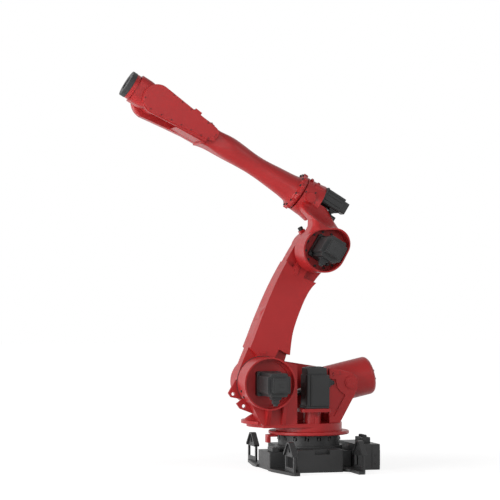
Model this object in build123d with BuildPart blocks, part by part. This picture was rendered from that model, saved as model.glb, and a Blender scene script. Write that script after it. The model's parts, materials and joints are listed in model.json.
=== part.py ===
from build123d import *
from math import cos, radians, sin
import os

# Six-axis industrial robot arm. Millimetres, +Z up, +X the robot's front, +Y its left.
# The origin lies on the first axis at floor level. The pose is the rest pose of every joint.

# Kinematic sizes
shoulder_out = 390.0      # second axis ahead of the first
shoulder_up = 643.0       # second axis above the floor
upper_length = 1060.0     # second axis to third
upper_angle = 113.8       # lean of the lower arm, from +X towards +Z
elbow_rise = 305.0        # third axis to the forearm's axis
fore_length = 1600.0      # foot of the third axis to the fifth
fore_angle = 31.1         # forearm above level
tool_reach = 242.0        # fifth axis to the tool face

arm_x = cos(radians(upper_angle))
arm_z = sin(radians(upper_angle))
elbow_x = shoulder_out + upper_length * arm_x
elbow_z = shoulder_up + upper_length * arm_z
ux = cos(radians(fore_angle))
uz = sin(radians(fore_angle))
fore_x = elbow_x - elbow_rise * uz
fore_z = elbow_z + elbow_rise * ux

# Clearances
run_gap = 6.0             # between bodies that swing past each other
seat_gap = 0.3            # between pieces that are bolted together on their seats
pin_gap = 1.0             # round a pivot pin

# Journals, proud of the parts they carry
journal_radius = 92.0
roll_journal = 104.0
wrist_journal = 58.0

# Base
base_mid = 31.0           # the feet's middle, ahead of the first axis
bar_front = 314.0         # half length of the bar along X
bar_half = 157.0
bar_height = 134.0
wing_half = 172.0         # half width of the wing, along X
wing_reach = 398.0
wing_height = 164.0
notch_half = 58.0         # notch in the top of the wing's end
notch_depth = 34.0
notch_run = 46.0
foot_reach = 624.0
foot_spread = 260.0       # foot middle from the feet's middle, along X
foot_thick = 22.0
foot_tip = 15.0           # outer edge of the foot plate at its tip, from the lug
foot_root = 67.0          # and at the bar
foot_back = 40.0
lug_thick = 14.0
roof_thick = 13.0         # slanted flanges on the lug's gable
roof_wide = 40.0
lug_inner = 400.0
lug_top = 234.0
lug_shoulder = 154.0
lug_flat = 26.0
lug_eye = 27.0
lug_eye_up = 184.0
window_low = 54.0
window_high = 130.0
window_edge = 24.0        # web left beside the window
anchor_bore = 26.0
anchor_out = 330.0
neck_radius = 229.0
neck_step_radius = 250.0
neck_step_top = 176.0
pocket_count = 16         # bolt pockets round the neck
pocket_radius = 15.0
pocket_low = 214.0
pocket_high = 247.0

# Connection box and its plug block
box_near = 300.0
box_far = -160.0
box_deep = 173.0
box_top = 190.0
box_lift = 2.0
panel_low = 30.0
panel_high = 150.0
panel_edge = 28.0
panel_proud = 10.0
block_from_end = 78.0     # plug block's middle ahead of the box's back
block_long = 72.0
block_wide = 150.0
block_tall = 44.0

# Turntable
disc_radius = 299.0
disc_bottom = 256.0
disc_thick = 26.0
drum_radius = 246.0
deck_top = 342.0
deck_thick = 26.0
deck_round_mid = 163.0    # centre of both round fronts
deck_round = 305.0
nose_round = 345.0
nose_half = 196.0
nose_thick = 20.0
hump_half = 84.0
hump_rise = 62.0

# Shoulder tower
tower_inner = 118.0       # face beside the lower arm
tower_outer = 236.0
rim_y = 340.0
rim_radius = 192.0
cup_radius = 181.0
cup_depth = 92.0
tower_front = 425.0
tower_chin = 492.0
tower_chin_up = 470.0
tower_rear = 158.0
tower_rear_top = 772.0
rib_thick = 30.0
rib_places = (-6.0, -124.0)   # from the second axis
rib_foot = 16.0
rib_reach = 84.0

# Balancer
trunnion_back = 270.0     # behind the first axis
trunnion_z = 640.0
balancer_tilt = 12.8
balancer_radius = 142.0
balancer_front = 150.0
balancer_rear = 216.0
balancer_round = 38.0
balancer_cavity = 108.0
mouth_radius = 82.0
cheek_inner = 150.0
cheek_outer = 190.0
cheek_recess = 12.0
trunnion_pin = 32.0
trunnion_cap = 49.0
eye_reach = 245.0         # second axis to the rod's eye
rod_radius = 27.0
rod_length = 440.0
eye_radius = 44.0
eye_bore = 22.0
eye_half = 27.0
ear_gap = 3.0
ear_thick = 24.0
trunnion_x = -trunnion_back

# Lower arm
arm_half = 112.0
arm_core = 58.0           # half thickness of the beam inside the raised box
arm_slim = 88.0           # half thickness of the box at its top
arm_back = 92.0           # the top hub's far face
hub_radius = 181.0
top_hub_radius = 152.0
box_slim_from = 0.34      # shares of the arm's length between which the box thins
box_slim_to = 0.76

# Elbow
elbow_inner = arm_half + run_gap
elbow_outer = 350.0
elbow_wall = 11.0
elbow_bore = 151.0        # large end of the motor cup
elbow_bore_small = 104.0
elbow_cup_depth = 118.0
house_radius = 145.0
house_rear = 168.0
house_front = 318.0
seam_radius = 134.0
cover_along = 256.0
cover_radius = 36.0

# Forearm
flange_thick = 30.0
flange_radius = 139.0
lobe_count = 12
lobe_circle = 128.0
lobe_radius = 19.0
fork_inner = 94.0
fork_near = 112.0
fork_far = 165.0
fork_slot = 1385.0
fork_root = 1140.0
cover_thick = 12.0
cover_round = 107.0
cover_small = 53.0
cover_length = 467.0
far_round = 130.0
far_shift = 12.0          # the far arm's round end lies past the fifth axis

# Wrist
wrist_half = 88.0
wrist_round = 98.0
collar_half = 105.0
collar_back = 90.0
collar_front = 168.0
neck_ring = 97.0
tool_radius = 99.0
tool_thick = 38.0
tool_bolt_circle = 80.0
tool_bore = 50.0
tool_recess = 8.0

# Motors
motor_half = 89.0
motor_waist = 63.0
cap_half = 58.0


def side_plane(y):
    """World XZ plane at a given Y; a positive extrusion runs towards -Y."""
    return Plane(origin=(0, y, 0), x_dir=(1, 0, 0), z_dir=(0, -1, 0))


def fore_point(along, across):
    """World X and Z of a point beside the forearm's axis."""
    return (fore_x + along * ux - across * uz, fore_z + along * uz + across * ux)


def fore_side(y):
    """The forearm's own side plane: local x along its axis, local y across it."""
    return Plane(origin=(fore_x, y, fore_z), x_dir=(ux, 0, uz), z_dir=(0, -1, 0))


def fore_section(along, y=0.0, across=0.0):
    """A plane square to the forearm's axis: local x is +Y, local y is across."""
    x, z = fore_point(along, across)
    return Plane(origin=(x, y, z), x_dir=(0, 1, 0), z_dir=(ux, 0, uz))


def arm_point(share, ahead):
    """World X and Z of a point on the lower arm: a share of its length, and how far ahead of its line."""
    return (
        shoulder_out + share * upper_length * arm_x + ahead * arm_z,
        shoulder_up + share * upper_length * arm_z - ahead * arm_x,
    )


def at_angle(x, z, radius, angle):
    return (x + radius * cos(radians(angle)), z + radius * sin(radians(angle)))


def finish(piece, label):
    piece.part.label = label
    export_step(piece.part, "parts/" + label + ".step")


os.makedirs("parts", exist_ok=True)

# Base casting: a bar along X crossed by a taller wing along Y
rear_end = base_mid - bar_front
with BuildPart() as base_casting:
    with BuildSketch(Plane.XY):
        with Locations((base_mid, 0)):
            Rectangle(2 * bar_front, 2 * bar_half)
    extrude(amount=bar_height)
    with BuildSketch(Plane.XY):
        with Locations((base_mid, 0)):
            Rectangle(2 * wing_half, 2 * wing_reach)
    extrude(amount=wing_height)
    upright = base_casting.edges().filter_by(Axis.Z)
    bar_ends = upright.filter_by(lambda edge: abs(edge.center().X - base_mid) > wing_half + 1)
    wing_ends = upright.filter_by(lambda edge: abs(edge.center().Y) > bar_half + 1)
    fillet(bar_ends + wing_ends, 7)
    with BuildSketch(Plane.XY.offset(wing_height - notch_depth)):
        with Locations((base_mid - 14, wing_reach), (base_mid - 14, -wing_reach)):
            Rectangle(2 * notch_half, 2 * notch_run)
    extrude(amount=notch_depth, mode=Mode.SUBTRACT)
    with BuildSketch(Plane.XY.offset(bar_height - 10)):
        Circle(neck_step_radius)
    extrude(amount=neck_step_top - bar_height + 10)
finish(base_casting, "base_casting")

# Round neck with bolt pockets under its top flange
with BuildPart() as base_neck:
    with BuildSketch(Plane.XY.offset(neck_step_top)):
        Circle(neck_radius)
    extrude(amount=disc_bottom - seat_gap - neck_step_top)
    with BuildSketch(Plane.XY.offset(pocket_low)):
        with PolarLocations(neck_radius, pocket_count, start_angle=2.5):
            Circle(pocket_radius)
    extrude(amount=pocket_high - pocket_low, mode=Mode.SUBTRACT)
finish(base_neck, "base_neck")


def foot(front, left):
    """A foot plate with its upright gabled lug: front and left are 1 or -1."""
    mid = base_mid + front * foot_spread
    lug_mid = (lug_inner + foot_reach) / 2
    half = (foot_reach - lug_inner) / 2
    root_x = base_mid + front * (wing_half + seat_gap)
    wide = foot_root if front > 0 else bar_front - foot_spread - seat_gap
    with BuildPart() as piece:
        with BuildSketch(Plane.XY):
            with BuildLine():
                Polyline(
                    (root_x, left * (bar_half + seat_gap)),
                    (mid + front * wide, left * (bar_half + seat_gap)),
                    (mid + front * wide, left * (bar_half + 100)),
                    (mid + front * foot_tip, left * (foot_reach - 24)),
                    (mid + front * (foot_tip - 14), left * foot_reach),
                    (mid - front * foot_back, left * foot_reach),
                    (mid - front * foot_back, left * (wing_reach + 14)),
                    (root_x, left * (wing_reach - 40)),
                    close=True,
                )
            make_face()
        extrude(amount=foot_thick)
        side = Plane(origin=(mid, 0, 0), x_dir=(0, left, 0), z_dir=(left, 0, 0))
        # thin gabled plate with its eye and window
        with BuildSketch(side.offset(-lug_thick / 2)):
            with BuildLine():
                Polyline(
                    (lug_inner, foot_thick),
                    (lug_inner, lug_shoulder),
                    (lug_mid - lug_flat, lug_top),
                    (lug_mid + lug_flat, lug_top),
                    (foot_reach, lug_shoulder),
                    (foot_reach, foot_thick),
                    close=True,
                )
            make_face()
            with Locations((lug_mid, lug_eye_up)):
                Circle(lug_eye, mode=Mode.SUBTRACT)
            with Locations((lug_mid, (window_low + window_high) / 2)):
                Rectangle(2 * (half - window_edge), window_high - window_low, mode=Mode.SUBTRACT)
        extrude(amount=lug_thick)
        # flanges along both slopes of the gable
        with BuildSketch(side.offset(-roof_wide / 2)):
            with BuildLine():
                Polyline(
                    (lug_inner - 8, lug_shoulder - 8),
                    (lug_mid - lug_flat, lug_top),
                    (lug_mid + lug_flat, lug_top),
                    (foot_reach + 8, lug_shoulder - 8),
                    (foot_reach - 2, lug_shoulder - 8 - roof_thick),
                    (lug_mid + lug_flat - 4, lug_top - roof_thick),
                    (lug_mid - lug_flat + 4, lug_top - roof_thick),
                    (lug_inner + 2, lug_shoulder - 8 - roof_thick),
                    close=True,
                )
            make_face()
        extrude(amount=roof_wide)
        with Locations((mid, left * anchor_out, foot_thick)):
            Hole(anchor_bore / 2)
    return piece


for front, front_name in ((1, "front"), (-1, "rear")):
    for left, left_name in ((1, "left"), (-1, "right")):
        finish(foot(front, left), "foot_" + front_name + "_" + left_name)

# Connection box on the rear, with its raised plug panel
box_back = rear_end - box_deep
box_mid = (box_near + box_far) / 2
with BuildPart() as connection_box:
    with BuildSketch(Plane.XY.offset(box_lift)):
        with Locations(((rear_end - seat_gap + box_back) / 2, box_mid)):
            Rectangle(rear_end - seat_gap - box_back, box_near - box_far)
    extrude(amount=box_top - box_lift)
    fillet(connection_box.edges().filter_by(Axis.Z), 6)
    with BuildSketch(Plane.YZ.offset(box_back)):
        with Locations((box_mid, (panel_low + panel_high) / 2)):
            RectangleRounded(box_near - box_far - 2 * panel_edge, panel_high - panel_low, 8)
    extrude(amount=-panel_proud)
finish(connection_box, "connection_box")

with BuildPart() as connector_block:
    with BuildSketch(Plane.XY.offset(box_top)):
        with Locations((box_back + block_from_end, box_mid + 60)):
            RectangleRounded(block_long, block_wide, 6)
    extrude(amount=block_tall)
finish(connector_block, "connector_block")

# Stop block in front of the neck
with BuildPart() as stop_block:
    with BuildSketch(Plane.XY.offset(bar_height)):
        with Locations((neck_step_radius + 50, 90)):
            RectangleRounded(50, 130, 6)
    extrude(amount=34)
finish(stop_block, "stop_block")

# Turntable: bearing disc, drum and deck with the round nose
with BuildPart() as bearing_disc:
    with BuildSketch(Plane.XY.offset(disc_bottom)):
        Circle(disc_radius)
    extrude(amount=disc_thick)
    fillet(bearing_disc.edges().filter_by(GeomType.CIRCLE), 8)
finish(bearing_disc, "bearing_disc")

with BuildPart() as column:
    with BuildSketch(Plane.XY.offset(disc_bottom + disc_thick)):
        Circle(drum_radius)
    extrude(amount=deck_top - disc_bottom - disc_thick)
    with BuildSketch(Plane.XY.offset(deck_top - deck_thick)):
        with Locations((deck_round_mid, 0)):
            Circle(deck_round)
        with Locations((deck_round_mid + deck_round / 2, 0)):
            Rectangle(deck_round, 2 * tower_outer, mode=Mode.INTERSECT)
        with BuildLine():
            Polyline((0, -drum_radius), (deck_round_mid + 180, -tower_outer),
                     (deck_round_mid + 180, 0), (tower_front - 11, 0),
                     (tower_front - 11, tower_outer), (0, drum_radius), close=True)
        make_face()
    extrude(amount=deck_thick)
    # round nose plate on the deck
    with BuildSketch(Plane.XY.offset(deck_top - 2)):
        with Locations((deck_round_mid, 0)):
            Circle(nose_round)
        with Locations((deck_round_mid + nose_round / 2 + 70, 0)):
            Rectangle(nose_round, 2 * nose_half, mode=Mode.INTERSECT)
    extrude(amount=nose_thick + 2)
    # hump over the nose
    hump_base = deck_top + nose_thick - 4
    for_hump = (
        (deck_round_mid + 0.42 * nose_round, hump_half, hump_rise),
        (deck_round_mid + 0.64 * nose_round, hump_half, hump_rise),
        (deck_round_mid + 0.96 * nose_round, hump_half * 0.5, 10.0),
    )
    for x_hump, half_hump, rise in for_hump:
        with BuildSketch(Plane.YZ.offset(x_hump)):
            with BuildLine():
                ThreePointArc((-half_hump, hump_base), (0, hump_base + rise + 4), (half_hump, hump_base))
                Line((half_hump, hump_base), (-half_hump, hump_base))
            make_face()
    loft()
    # shoulder housing
    with BuildSketch(side_plane(rim_y)):
        with Locations((shoulder_out, shoulder_up)):
            Circle(rim_radius)
    extrude(amount=rim_y - tower_inner)
    # tower under it
    with BuildSketch(side_plane(tower_outer)):
        with BuildLine():
            Polyline(
                (tower_rear, deck_top - 2), (tower_front, deck_top - 2),
                (tower_chin, tower_chin_up),
                (shoulder_out + rim_radius * 0.72, shoulder_up - rim_radius * 0.6),
                (shoulder_out, shoulder_up),
                (shoulder_out - 60, shoulder_up + rim_radius * 0.92),
                (tower_rear, tower_rear_top), (tower_rear, deck_top - 2),
            )
        make_face()
    extrude(amount=tower_outer - tower_inner)
    # gussets between the deck and the housing
    for place in rib_places:
        rib_top = shoulder_up - (rim_radius ** 2 - place ** 2) ** 0.5 + 12
        with BuildSketch(Plane.YZ.offset(shoulder_out + place - rib_thick / 2)):
            with BuildLine():
                Polyline((tower_outer - 4, deck_top - 2), (tower_outer + rib_foot, deck_top - 2),
                         (tower_outer + rib_reach, rib_top), (tower_outer - 4, rib_top), close=True)
            make_face()
        extrude(amount=rib_thick)
    # motor cup with its inner step
    with BuildSketch(side_plane(rim_y)):
        with Locations((shoulder_out, shoulder_up)):
            Circle(cup_radius)
    extrude(amount=cup_depth - 24, mode=Mode.SUBTRACT)
    with BuildSketch(side_plane(rim_y)):
        with Locations((shoulder_out, shoulder_up)):
            Circle(cup_radius - 16)
    extrude(amount=cup_depth, mode=Mode.SUBTRACT)
finish(column, "column")


def cheek(y_near, front_x, top_ahead, recess):
    """One side plate of the balancer's bracket, and on the near one its recessed web."""
    slope = 0.163
    top_at_pin = trunnion_z + 91
    with BuildPart() as piece:
        with BuildSketch(side_plane(y_near)):
            with BuildLine():
                Polyline(
                    (front_x, deck_top + seat_gap),
                    (front_x, top_at_pin + slope * (top_ahead + trunnion_back - 70)),
                    (trunnion_x + 70, top_at_pin),
                    (trunnion_x - 8, trunnion_z + 68), (trunnion_x - 56, trunnion_z + 28),
                    (trunnion_x - 48, trunnion_z - 50), (trunnion_x - 19, trunnion_z - 109),
                    (trunnion_x + 86, deck_top + seat_gap),
                    close=True,
                )
            make_face()
            with Locations((trunnion_x, trunnion_z)):
                Circle(trunnion_pin + pin_gap, mode=Mode.SUBTRACT)
        extrude(amount=cheek_outer - cheek_inner)
        if recess:
            with BuildSketch(side_plane(y_near)):
                with BuildLine():
                    Polyline(
                        (front_x + 1, trunnion_z + 25), (trunnion_x + 120, trunnion_z + 23),
                        (trunnion_x + 108, trunnion_z - 34), (trunnion_x + 84, trunnion_z - 66),
                        (trunnion_x + 46, trunnion_z - 94),
                        (trunnion_x + 130, deck_top + 52), (front_x + 1, deck_top + 52),
                        close=True,
                    )
                make_face()
            extrude(amount=cheek_recess, mode=Mode.SUBTRACT)
    return piece


finish(cheek(cheek_outer, trunnion_x + 168, trunnion_x + 168, True), "balancer_cheek_left")
finish(cheek(-cheek_inner, tower_rear + 40, tower_rear + 40, False), "balancer_cheek_right")

for y_cap, cap_name in ((cheek_outer + 8, "left"), (-cheek_outer, "right")):
    with BuildPart() as trunnion_cover:
        with BuildSketch(side_plane(y_cap)):
            with Locations((trunnion_x, trunnion_z)):
                Circle(trunnion_cap)
        extrude(amount=8)
    finish(trunnion_cover, "trunnion_cap_" + cap_name)

# Stop of the first axis, hung from the bearing disc
with BuildPart() as swing_stop:
    with BuildSketch(Plane.XY.offset(disc_bottom - seat_gap)):
        with Locations((disc_radius - 8, 20)):
            RectangleRounded(80, 76, 6)
    extrude(amount=-16)
    with BuildSketch(Plane.XY.offset(disc_bottom - seat_gap - 10)):
        with Locations((disc_radius + 18, 10)):
            RectangleRounded(30, 56, 6)
    extrude(amount=-50)
finish(swing_stop, "swing_stop")

# First axis motor on its pedestal
motor1_x = 9.0
motor1_y = 173.0
motor1_bottom = 453.0
motor1_top = 700.0
motor1_cap = 51.0
plate_thick = 24.0
with BuildPart() as swing_gear_seat:
    with BuildSketch(Plane.XY.offset(deck_top)):
        with Locations((motor1_x + 14, motor1_y - 10)):
            Circle(63)
    extrude(amount=motor1_bottom - plate_thick - deck_top)
    with BuildSketch(Plane.XY.offset(motor1_bottom - plate_thick)):
        with Locations((motor1_x + 12, motor1_y)):
            RectangleRounded(222, 208, 18)
    extrude(amount=plate_thick)
    # upright rib on the seat
    with BuildSketch(Plane.XY.offset(deck_top)):
        with Locations((motor1_x - 2, motor1_y + 56)):
            RectangleRounded(28, 20, 6)
    extrude(amount=52)
finish(swing_gear_seat, "swing_gear_seat")

with BuildPart() as swing_motor:
    with BuildSketch(Plane.XY.offset(motor1_bottom)):
        with Locations((motor1_x, motor1_y)):
            RectangleRounded(2 * motor_half, 2 * motor_half, 12)
    extrude(amount=18)
    with BuildSketch(Plane.XY.offset(motor1_bottom + 18)):
        with Locations((motor1_x, motor1_y)):
            RectangleRounded(2 * motor_half - 10, 2 * motor_half - 10, 22)
    extrude(amount=motor1_top - motor1_bottom - 18)
    with BuildSketch(Plane.XY.offset(motor1_top)):
        with Locations((motor1_x, motor1_y)):
            RectangleRounded(2 * motor_half - 26, 2 * motor_half - 34, 10)
    extrude(amount=motor1_cap)
finish(swing_motor, "swing_motor")


def cup_motor(spin, flange_in, body_long, cap_long):
    """A servo motor that sits in a cup: square flange, waisted body, smaller end cap."""
    with BuildPart() as piece:
        with BuildSketch(spin):
            RectangleRounded(2 * motor_half, 2 * motor_half, 12)
        extrude(amount=flange_in)
        with BuildSketch(spin.offset(-body_long)):
            RectangleRounded(2 * motor_half - 8, 2 * motor_waist, 12)
        extrude(amount=body_long)
        with BuildSketch(spin.offset(-body_long)):
            RectangleRounded(2 * motor_waist, 2 * motor_half - 8, 12)
        extrude(amount=body_long)
        with BuildSketch(spin.offset(-body_long - cap_long)):
            RectangleRounded(2 * cap_half, 2 * cap_half - 8, 12)
        extrude(amount=cap_long)
    return piece


# Second axis motor in its cup
flange_in = 60.0
shoulder_spin = Plane(origin=(shoulder_out, rim_y - cup_depth + flange_in, shoulder_up),
                      x_dir=(1, 0, 0), z_dir=(0, -1, 0))
finish(cup_motor(shoulder_spin, flange_in, 262.0, 46.0), "shoulder_motor")

# Balancer cylinder on its trunnions, open at the front where the rod enters
tilt_x = cos(radians(-balancer_tilt))
tilt_z = sin(radians(-balancer_tilt))
cylinder_plane = Plane(origin=(trunnion_x, 0, trunnion_z), x_dir=(0, 1, 0), z_dir=(tilt_x, 0, tilt_z))
pin_inner = balancer_radius - 14
pin_reach = cheek_outer - 2 - pin_inner
with BuildPart() as balancer_cylinder:
    with BuildSketch(cylinder_plane.offset(-balancer_rear)):
        Circle(balancer_radius)
    extrude(amount=balancer_rear + balancer_front)
    rear_edge = balancer_cylinder.edges().filter_by(GeomType.CIRCLE).sort_by(Axis.X)[0]
    fillet(rear_edge, balancer_round)
    with BuildSketch(cylinder_plane.offset(-70)):
        Circle(balancer_cavity)
    extrude(amount=70 + balancer_front - 20, mode=Mode.SUBTRACT)
    with BuildSketch(cylinder_plane.offset(balancer_front - 20)):
        Circle(mouth_radius)
    extrude(amount=20, mode=Mode.SUBTRACT)
    for start in (pin_inner + pin_reach, -pin_inner):
        with BuildSketch(side_plane(start)):
            with Locations((trunnion_x, trunnion_z)):
                Circle(trunnion_pin)
        extrude(amount=pin_reach)
finish(balancer_cylinder, "balancer_cylinder")

# The rod, its eye on the lower arm's ear
axis_offset = (shoulder_out - trunnion_x) * tilt_z - (shoulder_up - trunnion_z) * tilt_x
along_foot = (shoulder_out - trunnion_x) * tilt_x + (shoulder_up - trunnion_z) * tilt_z
eye_distance = along_foot - (eye_reach ** 2 - axis_offset ** 2) ** 0.5
eye_x = trunnion_x + eye_distance * tilt_x
eye_z = trunnion_z + eye_distance * tilt_z
with BuildPart() as balancer_rod:
    with BuildSketch(cylinder_plane.offset(eye_distance - rod_length)):
        Circle(rod_radius)
    extrude(amount=rod_length - 20)
    with BuildSketch(side_plane(eye_half)):
        with Locations((eye_x, eye_z)):
            Circle(eye_radius)
    extrude(amount=2 * eye_half)
    with BuildSketch(side_plane(eye_half)):
        with Locations((eye_x, eye_z)):
            Circle(eye_bore + pin_gap)
    extrude(amount=2 * eye_half, mode=Mode.SUBTRACT)
finish(balancer_rod, "balancer_rod")

# Lower arm: a bowed beam between two round hubs, with a raised box on both sides of its middle
front_run = [arm_point(*spot) for spot in (
    (0.92, 169), (0.84, 178), (0.72, 190), (0.57, 195.5), (0.45, 194), (0.3475, 190.5),
    (0.2657, 186.5), (0.19, 185), (0.10, 184),
)]
rear_run = [arm_point(*spot) for spot in (
    (0.14, -122), (0.2, -109), (0.25, -103), (0.34, -83), (0.3934, -71),
    (0.4576, -62), (0.56, -57), (0.6693, -60), (0.7271, -68), (0.80, -82), (0.87, -104),
)]
top_front = at_angle(elbow_x, elbow_z, top_hub_radius, upper_angle - 74)
top_rear = at_angle(elbow_x, elbow_z, top_hub_radius, upper_angle + 114)
low_front = at_angle(shoulder_out, shoulder_up, hub_radius, upper_angle - 98)
low_rear = at_angle(shoulder_out, shoulder_up, hub_radius, upper_angle + 62)
box_front = [arm_point(*spot) for spot in (
    (0.1875, 184.5), (0.2657, 186.5), (0.3475, 190.5), (0.45, 194), (0.57, 195.5), (0.72, 190), (0.8419, 177.5),
)]
box_rear = [arm_point(*spot) for spot in (
    (0.789, -93), (0.7271, -70), (0.6693, -61), (0.56, -58), (0.4576, -63), (0.3934, -72), (0.34, -86),
    (0.253, -114.6),
)]
with BuildPart() as lower_arm:
    with BuildSketch(side_plane(arm_half)):
        with BuildLine():
            Spline(*box_front)
            Polyline(box_front[-1], arm_point(0.8182, 121), arm_point(0.8694, 99), (elbow_x, elbow_z),
                     arm_point(0.784, 12), box_rear[0])
            Spline(*box_rear)
            Polyline(box_rear[-1], arm_point(0.2505, -99), arm_point(0.2565, -21), (shoulder_out, shoulder_up),
                     arm_point(0.1593, 117), box_front[0])
        make_face()
    extrude(amount=2 * arm_half)
    # the box thins towards its top
    low_share = box_slim_from * upper_length
    high_share = box_slim_to * upper_length
    edge_on = Plane(origin=(shoulder_out, 0, shoulder_up), x_dir=(0, 1, 0), z_dir=(arm_z, 0, -arm_x))
    for side in (1, -1):
        with BuildSketch(edge_on.offset(-400)):
            with BuildLine():
                Polyline(
                    (side * (arm_half + 1), low_share), (side * arm_slim, high_share),
                    (side * arm_slim, 1.2 * upper_length), (side * (arm_half + 20), 1.2 * upper_length),
                    (side * (arm_half + 20), low_share), close=True,
                )
            make_face()
        extrude(amount=800, mode=Mode.SUBTRACT)
    # beam at its full outline
    with BuildSketch(side_plane(arm_core)):
        with BuildLine():
            Spline(top_front, *front_run, low_front)
            Line(low_front, (shoulder_out, shoulder_up))
            Line((shoulder_out, shoulder_up), low_rear)
            Spline(low_rear, *rear_run, top_rear)
            Line(top_rear, (elbow_x, elbow_z))
            Line((elbow_x, elbow_z), top_front)
        make_face()
    extrude(amount=2 * arm_core)
    for x_hub, z_hub, r_hub, y_back in (
        (shoulder_out, shoulder_up, hub_radius, arm_half + 6),
        (elbow_x, elbow_z, top_hub_radius, arm_back),
    ):
        with BuildSketch(side_plane(arm_half)):
            with Locations((x_hub, z_hub)):
                Circle(r_hub)
        extrude(amount=arm_half + y_back)
    # journals that carry the arm in the housings beside it
    for x_hub, z_hub in ((shoulder_out, shoulder_up), (elbow_x, elbow_z)):
        with BuildSketch(side_plane(arm_half + run_gap - seat_gap)):
            with Locations((x_hub, z_hub)):
                Circle(journal_radius)
        extrude(amount=run_gap)
    # ears for the balancer's rod
    ear_radius = eye_radius + 4
    for y_ear in (eye_half + ear_gap + ear_thick, -eye_half - ear_gap):
        with BuildSketch(side_plane(y_ear)):
            with BuildLine():
                Polyline(
                    at_angle(eye_x, eye_z, ear_radius, 115),
                    at_angle(shoulder_out, shoulder_up, hub_radius - 12, 172),
                    at_angle(shoulder_out, shoulder_up, hub_radius - 12, 236),
                    at_angle(eye_x, eye_z, ear_radius, 295),
                )
                ThreePointArc(
                    at_angle(eye_x, eye_z, ear_radius, 295),
                    at_angle(eye_x, eye_z, ear_radius, 205),
                    at_angle(eye_x, eye_z, ear_radius, 115),
                )
            make_face()
        extrude(amount=ear_thick)
    with BuildSketch(side_plane(eye_half + ear_gap + ear_thick)):
        with Locations((eye_x, eye_z)):
            Circle(eye_bore + seat_gap)
    extrude(amount=2 * (eye_half + ear_gap + ear_thick), mode=Mode.SUBTRACT)
    # room for the rod's eye between the ears
    with BuildSketch(side_plane(eye_half + ear_gap)):
        with Locations((eye_x, eye_z)):
            Circle(eye_radius + run_gap)
    extrude(amount=2 * (eye_half + ear_gap), mode=Mode.SUBTRACT)
finish(lower_arm, "lower_arm")

pin_half = eye_half + ear_gap + ear_thick + 8
with BuildPart() as eye_pin_piece:
    with BuildSketch(side_plane(pin_half)):
        with Locations((eye_x, eye_z)):
            Circle(eye_bore)
    extrude(amount=2 * pin_half)
finish(eye_pin_piece, "eye_pin")

# Round covers on the far side of both hubs
for x_hub, z_hub, r_cover, y_cover, cover_name in (
    (shoulder_out, shoulder_up, 0.7 * hub_radius, arm_half + 6, "shoulder"),
    (elbow_x, elbow_z, 0.7 * top_hub_radius, arm_back, "elbow"),
):
    with BuildPart() as hub_cover:
        with BuildSketch(side_plane(-y_cover)):
            with Locations((x_hub, z_hub)):
                Circle(r_cover)
        extrude(amount=10)
        fillet(hub_cover.faces().sort_by(Axis.Y)[0].edges(), 4)
    finish(hub_cover, cover_name + "_hub_cover")

# Transport lock: one lug on the arm, one on the tower, their holes at one radius
lock_radius = 225.0
lock_hole = 13.0
lock_thick = 24.0


def lock_spot(radius, angle):
    return at_angle(shoulder_out, shoulder_up, radius, angle)


with BuildPart() as lock_lug_arm:
    with BuildSketch(side_plane(arm_half - 2)):
        with BuildLine():
            Polyline(lock_spot(155, 15), lock_spot(203, 5.7), lock_spot(266, -16.5), lock_spot(258, -24),
                     lock_spot(193, -39.5), lock_spot(155, -45), close=True)
        make_face()
        with Locations(lock_spot(lock_radius + 7, -20.5)):
            Circle(lock_hole, mode=Mode.SUBTRACT)
        with Locations((shoulder_out, shoulder_up)):
            Circle(hub_radius + seat_gap, mode=Mode.SUBTRACT)
    extrude(amount=lock_thick)
finish(lock_lug_arm, "lock_lug_arm")

with BuildPart() as lock_lug_column:
    with BuildSketch(side_plane(tower_inner + lock_thick + 2)):
        with BuildLine():
            Polyline(lock_spot(140, -45), lock_spot(196, -37), lock_spot(252, -36.6), lock_spot(257, -46.7),
                     lock_spot(238, -70), lock_spot(219, -76.8), close=True)
        make_face()
        with Locations(lock_spot(lock_radius - 1, -49)):
            Circle(lock_hole, mode=Mode.SUBTRACT)
        with Locations((shoulder_out, shoulder_up)):
            Circle(rim_radius + seat_gap, mode=Mode.SUBTRACT)
        with BuildLine():
            Polyline((tower_front, deck_top - 40), (tower_front + 0.5, deck_top),
                     (tower_chin + 0.5, tower_chin_up),
                     (shoulder_out + rim_radius * 0.72 + 0.5, shoulder_up - rim_radius * 0.6),
                     (tower_rear, shoulder_up), (tower_rear, deck_top - 40), close=True)
        make_face(mode=Mode.SUBTRACT)
    extrude(amount=lock_thick)
finish(lock_lug_column, "lock_lug_column")

# Rubber stop of the third axis on the top hub
stop_angle = 62.0
stop_y = -46.0
stop_foot = at_angle(elbow_x, elbow_z, top_hub_radius - 4, stop_angle)
stop_plane = Plane(origin=(stop_foot[0], stop_y, stop_foot[1]), x_dir=(0, 1, 0),
                   z_dir=(cos(radians(stop_angle)), 0, sin(radians(stop_angle))))
with BuildPart() as stop_bracket:
    with BuildSketch(stop_plane):
        RectangleRounded(56, 44, 8)
    extrude(amount=24)
    with BuildSketch(side_plane(0)):
        with Locations((elbow_x, elbow_z)):
            Circle(top_hub_radius + seat_gap)
    extrude(amount=100, mode=Mode.SUBTRACT)
finish(stop_bracket, "elbow_stop_bracket")
with BuildPart() as stop_rubber:
    with BuildSketch(stop_plane.offset(24)):
        Circle(19)
    extrude(amount=26)
    fillet(stop_rubber.faces().sort_by(Axis.Z)[-1].edges(), 5)
finish(stop_rubber, "elbow_stop_rubber")

# Elbow casting: motor cup at the third axis, neck, and the round forearm housing
cup_x = elbow_x + 19
cup_z = elbow_z - 5
small_x = elbow_x - 61
small_z = elbow_z + 44


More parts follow.
